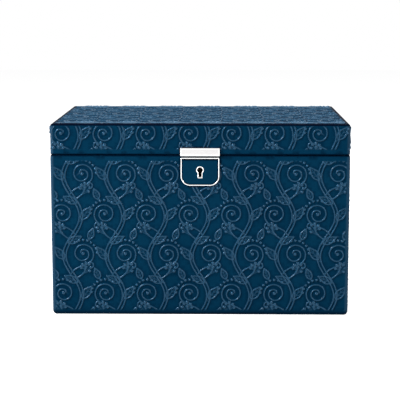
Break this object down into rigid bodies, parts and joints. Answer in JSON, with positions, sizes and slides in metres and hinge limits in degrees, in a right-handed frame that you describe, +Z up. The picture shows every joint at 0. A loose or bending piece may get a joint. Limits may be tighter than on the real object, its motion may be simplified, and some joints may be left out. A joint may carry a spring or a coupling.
{
  "type": "jewellery case",
  "caption": "Rectangular leather-covered jewellery case with a hinged lid, a front box lock, a mirror and a lined tray that rises as the lid opens.",
  "frame": {"origin": "middle of the underside, on the surface that the case stands on", "axes": "+X to the right along the width, +Y to the back where the hinges are, +Z up"},
  "size_m": [0.28, 0.2044, 0.182],
  "materials": {
    "leather": "embossed, semi-matt, deep blue",
    "polished_metal": "polished nickel plate",
    "brass": "satin",
    "mirror": "polished",
    "felt": "felt",
    "fibreboard": "raw board, hidden",
    "suede": "napped suede cloth",
    "steel": "satin nickel plate"
  },
  "bodies": {
    "case": {"front_board": "fibreboard", "back_board": "fibreboard", "left_board": "fibreboard", "right_board": "fibreboard", "base_board": "fibreboard", "body_leather": "leather", "base_felt": "felt", "floor_lining": "suede", "front_lining": "suede", "back_lining": "suede", "left_lining": "suede", "right_lining": "suede", "well_long_divider": "suede", "well_cross_dividers": "suede", "tray_rest_left": "suede", "tray_rest_right": "suede", "lock_plate": "polished_metal", "lock_inlay": "leather", "keyhole_rim": "polished_metal", "lock_case": "steel", "lock_cap": "steel", "bolt_spring": "steel", "lock_screws": "steel", "body_hinge_leaves": "steel", "hinge_pins": "steel", "body_hinge_screws": "steel", "arm_studs": "steel", "arm_stops": "steel"},
    "key_hub": {"key_hub": "steel"},
    "lock_bolt": {"lock_bolt": "brass"},
    "lid": {"lid_top_board": "fibreboard", "lid_front_rail": "fibreboard", "lid_back_rail": "fibreboard", "lid_left_rail": "fibreboard", "lid_right_rail": "fibreboard", "lid_leather": "leather", "lid_pad_frame": "suede", "mirror": "mirror", "lid_rim_linings": "suede", "strike_bar": "polished_metal", "strike_plate": "steel", "staple": "steel", "strike_screws": "steel", "lid_hinge_leaves": "steel", "lid_hinge_screws": "steel", "tray_bracket_left": "steel", "tray_bracket_right": "steel", "bracket_screws": "steel"},
    "tray_arms": {"tray_arm_left": "steel", "tray_arm_right": "steel"},
    "tray": {"tray_front": "suede", "tray_back": "suede", "tray_left": "suede", "tray_right": "suede", "tray_floor": "suede", "tray_lining": "suede", "tray_dividers": "suede", "ring_bed": "suede", "ring_rolls": "suede", "tray_studs": "steel"}
  },
  "joints": [
    {"name": "lid_hinge", "type": "hinge", "parent": "case", "child": "lid", "pos_m": [0, 0.1002, 0.1529], "axis": [-1, 0, 0], "range_deg": [0, 95]},
    {"name": "arm_pivot", "type": "hinge", "parent": "case", "child": "tray_arms", "pos_m": [0, 0.0502, 0.1244], "axis": [-1, 0, 0], "range_deg": [0, 95]},
    {"name": "tray_pivot", "type": "hinge", "parent": "tray_arms", "child": "tray", "pos_m": [0, -0.0083, 0.1111], "axis": [-1, 0, 0], "range_deg": [-95, 0]},
    {"name": "key_turn", "type": "hinge", "parent": "case", "child": "key_hub", "pos_m": [0, -0.0959, 0.139], "axis": [0, 1, 0], "range_deg": [0, 90]},
    {"name": "bolt_slide", "type": "slide", "parent": "case", "child": "lock_bolt", "axis": [1, 0, 0], "range_m": [0, 0.00551]}
  ],
  "couplings": [
    {"joint": "arm_pivot", "follows": "lid_hinge", "ratio": 1},
    {"joint": "tray_pivot", "follows": "lid_hinge", "ratio": -1},
    {"joint": "key_turn", "follows": "bolt_slide", "rad_per_m": 284.8}
  ]
}
